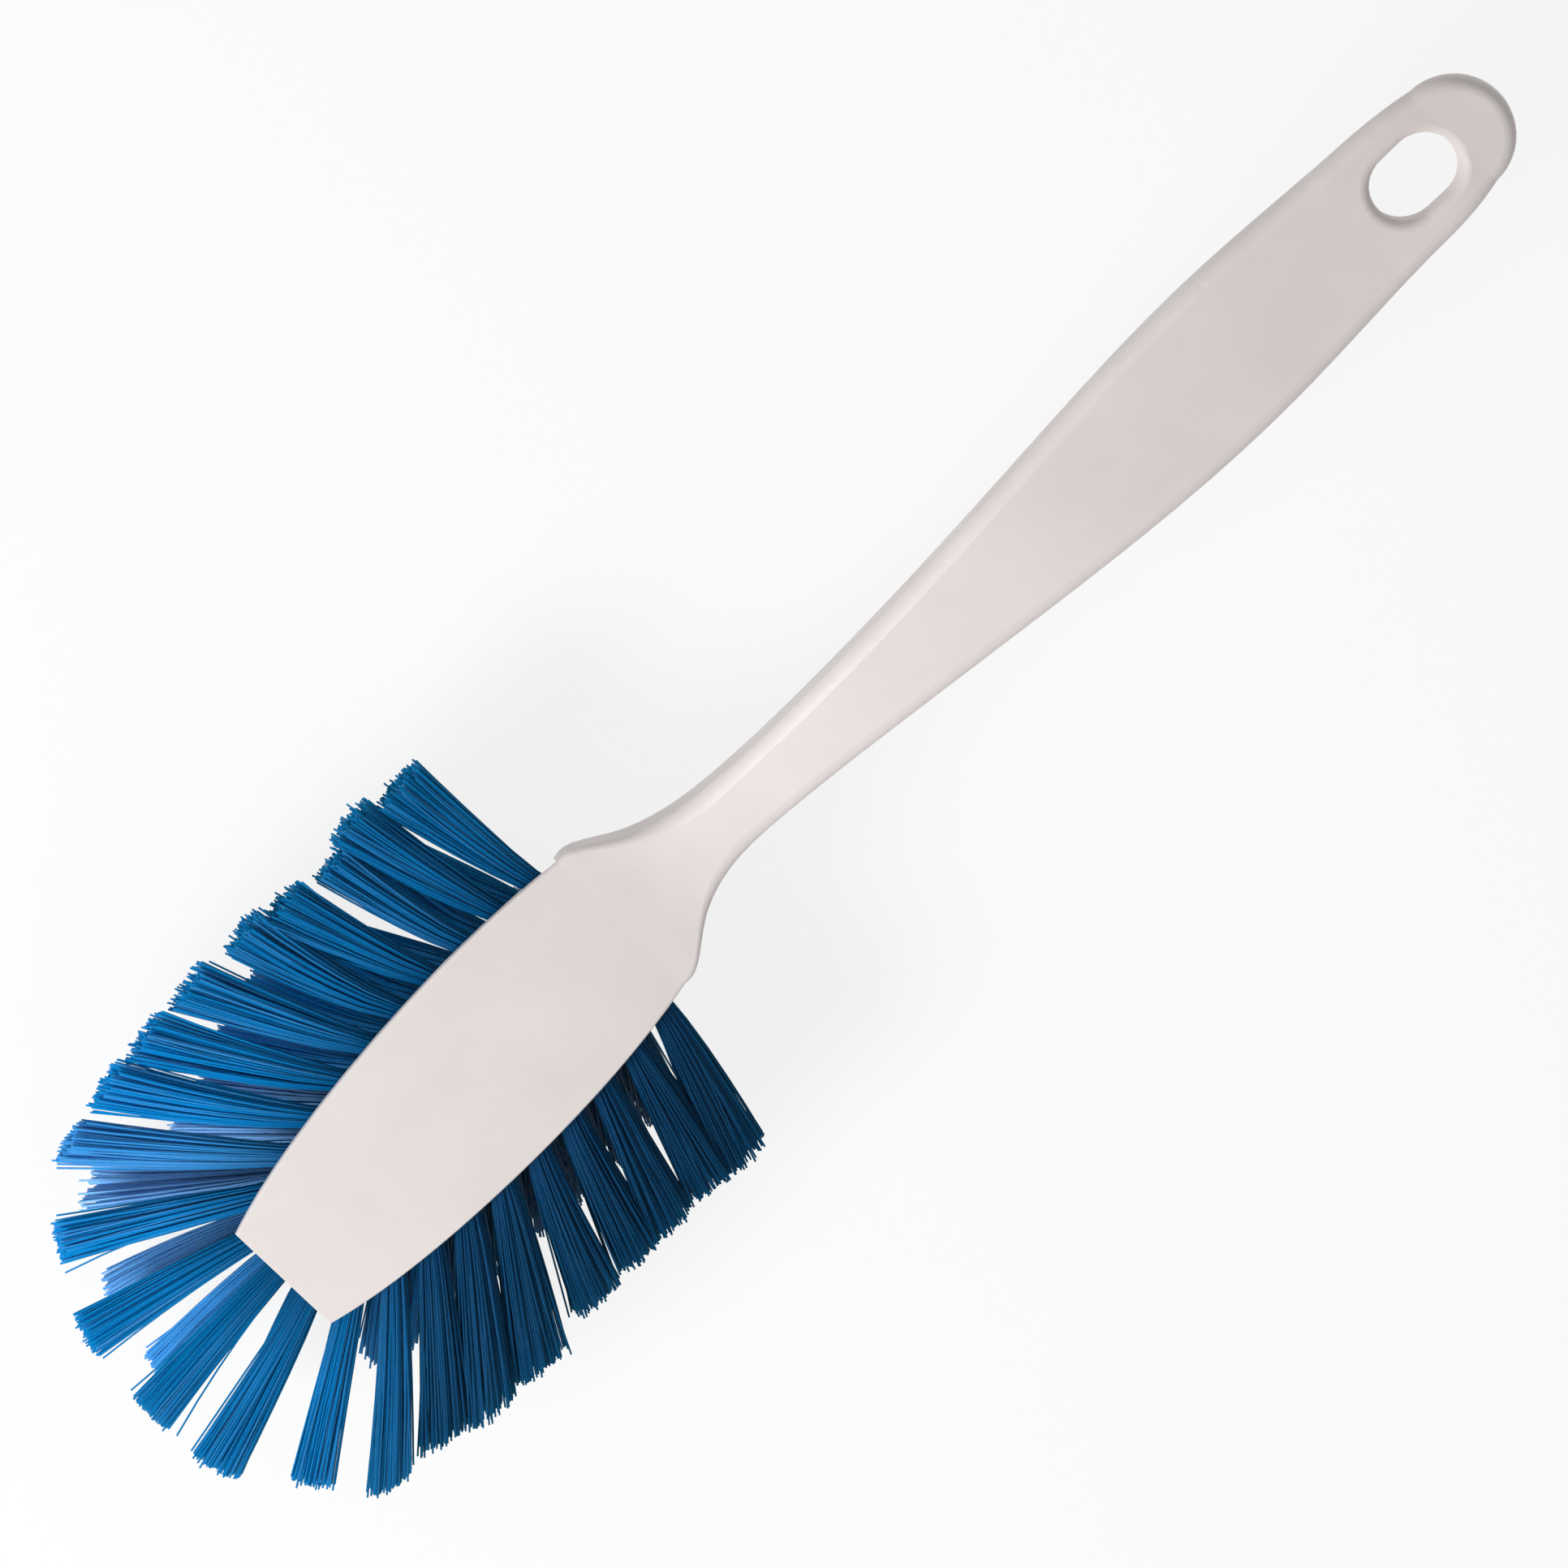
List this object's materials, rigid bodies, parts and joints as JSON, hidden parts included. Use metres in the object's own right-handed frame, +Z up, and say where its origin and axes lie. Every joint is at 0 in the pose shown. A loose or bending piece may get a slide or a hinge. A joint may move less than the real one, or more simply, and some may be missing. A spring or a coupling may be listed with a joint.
{
  "type": "dish brush",
  "caption": "Long-handled dish brush: a one-piece plastic head and handle with a hang slot, and blue bristle tufts that fan out around and below the head.",
  "frame": {"origin": "middle of the brush's box, on the surface that its bristles stand on", "axes": "+X from the bristles at the nose towards the handle's end, +Z up out of the head's flat back, bristles down"},
  "size_m": [0.2802, 0.0832, 0.0763],
  "materials": {
    "handle_plastic": "satin",
    "bristle": "satin",
    "anchor_wire": "satin"
  },
  "bodies": {
    "root": {"handle_and_head": "handle_plastic", "tuft_anchors": "anchor_wire", "tuft_centre_left_1": "bristle", "tuft_centre_left_2": "bristle", "tuft_centre_left_3": "bristle", "tuft_centre_left_4": "bristle", "tuft_centre_left_5": "bristle", "tuft_centre_left_6": "bristle", "tuft_centre_nose": "bristle", "tuft_centre_right_1": "bristle", "tuft_centre_right_2": "bristle", "tuft_centre_right_3": "bristle", "tuft_centre_right_4": "bristle", "tuft_centre_right_5": "bristle", "tuft_centre_right_6": "bristle", "tuft_corner_left": "bristle", "tuft_corner_right": "bristle", "tuft_left_1": "bristle", "tuft_left_2": "bristle", "tuft_left_3": "bristle", "tuft_left_4": "bristle", "tuft_left_5": "bristle", "tuft_left_6": "bristle", "tuft_left_7": "bristle", "tuft_left_8": "bristle", "tuft_left_9": "bristle", "tuft_middle_left_1": "bristle", "tuft_middle_left_2": "bristle", "tuft_middle_left_3": "bristle", "tuft_middle_left_4": "bristle", "tuft_middle_left_5": "bristle", "tuft_middle_left_6": "bristle", "tuft_middle_left_7": "bristle", "tuft_middle_left_8": "bristle", "tuft_middle_left_9": "bristle", "tuft_middle_nose_left": "bristle", "tuft_middle_nose_middle": "bristle", "tuft_middle_nose_right": "bristle", "tuft_middle_right_1": "bristle", "tuft_middle_right_2": "bristle", "tuft_middle_right_3": "bristle", "tuft_middle_right_4": "bristle", "tuft_middle_right_5": "bristle", "tuft_middle_right_6": "bristle", "tuft_middle_right_7": "bristle", "tuft_middle_right_8": "bristle", "tuft_middle_right_9": "bristle", "tuft_nose_left": "bristle", "tuft_nose_middle": "bristle", "tuft_nose_right": "bristle", "tuft_right_1": "bristle", "tuft_right_2": "bristle", "tuft_right_3": "bristle", "tuft_right_4": "bristle", "tuft_right_5": "bristle", "tuft_right_6": "bristle", "tuft_right_7": "bristle", "tuft_right_8": "bristle", "tuft_right_9": "bristle"}
  },
  "joints": []
}
